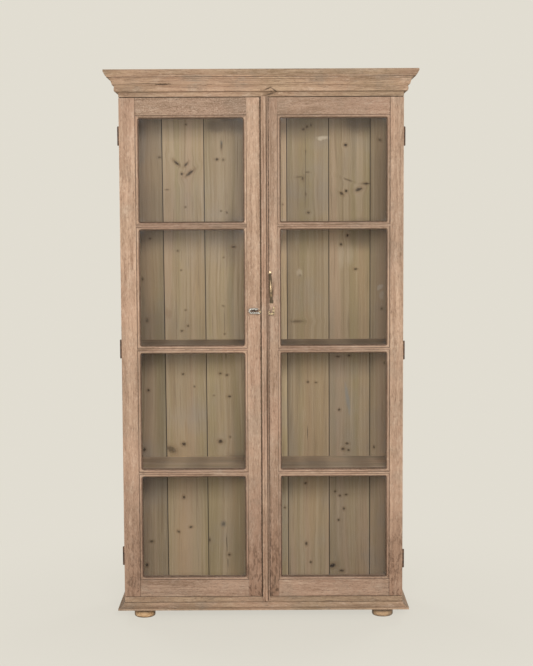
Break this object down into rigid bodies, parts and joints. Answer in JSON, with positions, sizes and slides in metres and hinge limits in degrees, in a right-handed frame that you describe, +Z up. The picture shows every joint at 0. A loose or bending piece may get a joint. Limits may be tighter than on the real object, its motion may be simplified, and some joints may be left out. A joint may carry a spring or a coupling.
{
  "type": "display cabinet",
  "caption": "Free-standing wooden display cabinet with glazed double doors, fixed shelves behind them, a moulded cornice and base, and turned bun feet.",
  "frame": {"origin": "on the floor, under the middle of the overall box", "axes": "+Z up; the doors face -Y; +X is the right-hand side seen from the front"},
  "size_m": [1.178, 0.375, 2.1],
  "materials": {
    "frame_wood": "weathered waxed oak, dry and slightly limed",
    "back_wood": "old unfinished softwood boards, grey-tan with knots",
    "shelf_wood": "old softwood, darkened",
    "foot_wood": "honey-coloured turned wood, waxed",
    "glass": "clear old window glass",
    "brass": "aged cast brass",
    "iron": "rusty dark iron"
  },
  "bodies": {
    "carcass": {"side_left": "frame_wood", "side_right": "frame_wood", "floor_board": "frame_wood", "top_slab": "frame_wood", "frieze_rail": "frame_wood", "cornice_front": "frame_wood", "cornice_left": "frame_wood", "cornice_right": "frame_wood", "base_front": "frame_wood", "base_left": "frame_wood", "base_right": "frame_wood", "shelf_lower": "shelf_wood", "shelf_middle": "shelf_wood", "shelf_upper": "shelf_wood", "ceiling_board": "shelf_wood", "back_board_1": "back_wood", "back_board_2": "back_wood", "back_board_3": "back_wood", "back_board_4": "back_wood", "back_board_5": "back_wood", "back_board_6": "back_wood", "back_board_7": "back_wood", "base_back": "back_wood", "foot_blocks": "back_wood", "foot_front_left": "foot_wood", "foot_front_right": "foot_wood", "foot_back_left": "foot_wood", "foot_back_right": "foot_wood", "back_nails": "iron", "hinge_frame_leaves": "iron", "hinge_pins": "iron", "hinge_frame_screws": "iron"},
    "left_door": {"left_hinge_stile": "frame_wood", "left_meeting_stile": "frame_wood", "left_top_rail": "frame_wood", "left_bottom_rail": "frame_wood", "left_bar_1": "frame_wood", "left_bar_2": "frame_wood", "left_bar_3": "frame_wood", "left_glazing_beads": "frame_wood", "left_panes": "glass", "left_hinge_leaves": "iron", "left_hinge_screws": "iron", "hook_post": "brass"},
    "right_door": {"right_hinge_stile": "frame_wood", "right_meeting_stile": "frame_wood", "right_top_rail": "frame_wood", "right_bottom_rail": "frame_wood", "right_bar_1": "frame_wood", "right_bar_2": "frame_wood", "right_bar_3": "frame_wood", "right_glazing_beads": "frame_wood", "right_panes": "glass", "right_hinge_leaves": "iron", "right_hinge_screws": "iron", "closing_strip": "frame_wood", "bow_pull": "brass", "fitting_screws": "brass", "hook_keeper": "brass"},
    "latch": {"drop_hook": "brass"}
  },
  "joints": [
    {"name": "left_door_swing", "type": "hinge", "parent": "carcass", "child": "left_door", "pos_m": [-0.5413, -0.113, 1.049], "axis": [0, 0, -1], "range_deg": [0, 180]},
    {"name": "right_door_swing", "type": "hinge", "parent": "carcass", "child": "right_door", "pos_m": [0.5413, -0.113, 1.04], "axis": [0, 0, 1], "range_deg": [0, 180]},
    {"name": "hook_swing", "type": "hinge", "parent": "left_door", "child": "latch", "pos_m": [-0.0082, -0.14855, 1.192], "axis": [0, 1, 0], "range_deg": [0, 170]}
  ]
}
